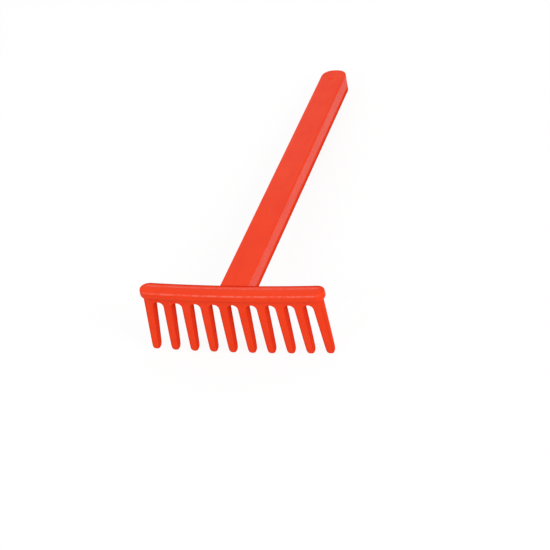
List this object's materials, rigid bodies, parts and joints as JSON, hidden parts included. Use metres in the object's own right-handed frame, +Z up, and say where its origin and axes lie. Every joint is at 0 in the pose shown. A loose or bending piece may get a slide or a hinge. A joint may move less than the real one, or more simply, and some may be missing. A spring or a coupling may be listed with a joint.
{
  "type": "sand rake",
  "caption": "Child's sand rake in moulded plastic: a straight comb head with blunt tapered tines, and a straight handle that plugs into its back and has a blind hanging hole.",
  "frame": {"origin": "on the ground under the middle of the rake's box, as it rests on its tine tips and handle end", "axes": "+Z up, +Y from the head towards the end of the handle, +X along the head"},
  "size_m": [0.152, 0.3588, 0.0597],
  "materials": {
    "head_plastic": "orange-red moulded polypropylene, satin gloss",
    "handle_plastic": "orange-red moulded polypropylene, satin gloss"
  },
  "bodies": {
    "head": {"rake_head": "head_plastic"},
    "handle": {"handle": "handle_plastic"}
  },
  "joints": [
    {"name": "handle_pull", "type": "slide", "parent": "head", "child": "handle", "axis": [0, 0.9931, -0.1177], "range_m": [0, 0.012]}
  ]
}
